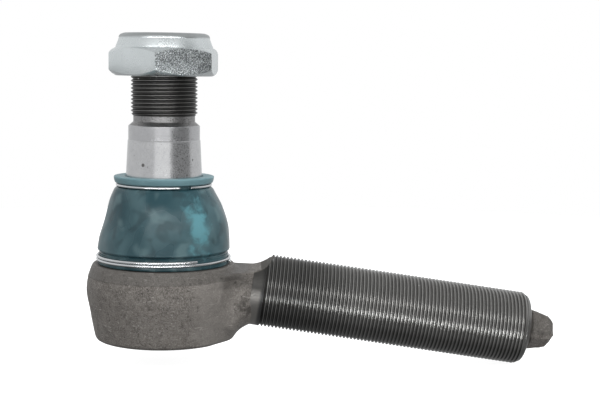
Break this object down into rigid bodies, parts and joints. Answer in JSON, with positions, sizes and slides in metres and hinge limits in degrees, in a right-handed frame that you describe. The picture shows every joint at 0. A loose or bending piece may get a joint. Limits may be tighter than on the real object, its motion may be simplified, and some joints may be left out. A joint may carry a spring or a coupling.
{
  "type": "tie rod end",
  "caption": "Heavy-duty steering ball joint: tapered ball stud with self-locking nut, sealed by a rubber boot, in a forged housing with a long threaded bar sloping down from it.",
  "frame": {"origin": "on the stud's axis, at the large end of its taper; the ball's centre is 41 mm below, at (0, 0, -0.041)", "axes": "+Z along the stud towards its thread; the bar leaves the ball's centre towards +X, 8.2 degrees below it"},
  "size_m": [0.1937, 0.0626, 0.1346],
  "materials": {
    "forged_steel": "forged and phosphated, mottled grey-brown, rough",
    "ground_steel": "ground taper, bright; thread phosphated nearly black",
    "zinc_plate": "zinc plated, pale blue-silver, satin",
    "nylon": "natural nylon",
    "boot_rubber": "smooth glossy blue-green elastomer",
    "spring_wire": "bright drawn wire",
    "bearing_plastic": "moulded acetal",
    "plain_steel": "oiled steel",
    "cover_steel": "pressed steel, phosphated",
    "seal_rubber": "black rubber"
  },
  "bodies": {
    "housing": {"housing": "forged_steel", "upper_bearing_shell": "bearing_plastic", "lower_bearing_shell": "bearing_plastic", "pressure_plate": "plain_steel", "preload_spring": "plain_steel", "end_cover": "cover_steel", "cover_seal_ring": "seal_rubber", "boot_bottom_ring": "spring_wire"},
    "boot": {"dust_boot": "boot_rubber"},
    "swing": {"boot_top_ring": "spring_wire"},
    "stud": {"ball_stud": "ground_steel"},
    "nut_carrier": {"nylon_insert": "nylon"},
    "nut": {"lock_nut": "zinc_plate"}
  },
  "joints": [
    {"name": "swing_x", "type": "hinge", "parent": "housing", "child": "boot", "pos_m": [0, 0, -0.041], "axis": [1, 0, 0], "range_deg": [-17, 17], "deforming": ["dust_boot"]},
    {"name": "swing_y", "type": "hinge", "parent": "boot", "child": "swing", "pos_m": [0, 0, -0.041], "axis": [0, 1, 0], "range_deg": [-17, 17], "deforming": ["dust_boot"]},
    {"name": "stud_spin", "type": "hinge", "parent": "swing", "child": "stud", "pos_m": [0, 0, -0.041], "axis": [0, 0, 1], "continuous": true},
    {"name": "nut_travel", "type": "slide", "parent": "stud", "child": "nut_carrier", "axis": [0, 0, 1], "range_m": [-0.015, 0.0135]},
    {"name": "nut_turn", "type": "hinge", "parent": "nut_carrier", "child": "nut", "pos_m": [0, 0, 0.0463], "axis": [0, 0, 1], "range_deg": [-3600, 3240]}
  ],
  "couplings": [
    {"joint": "nut_travel", "follows": "nut_turn", "m_per_rad": 0.00023873}
  ]
}
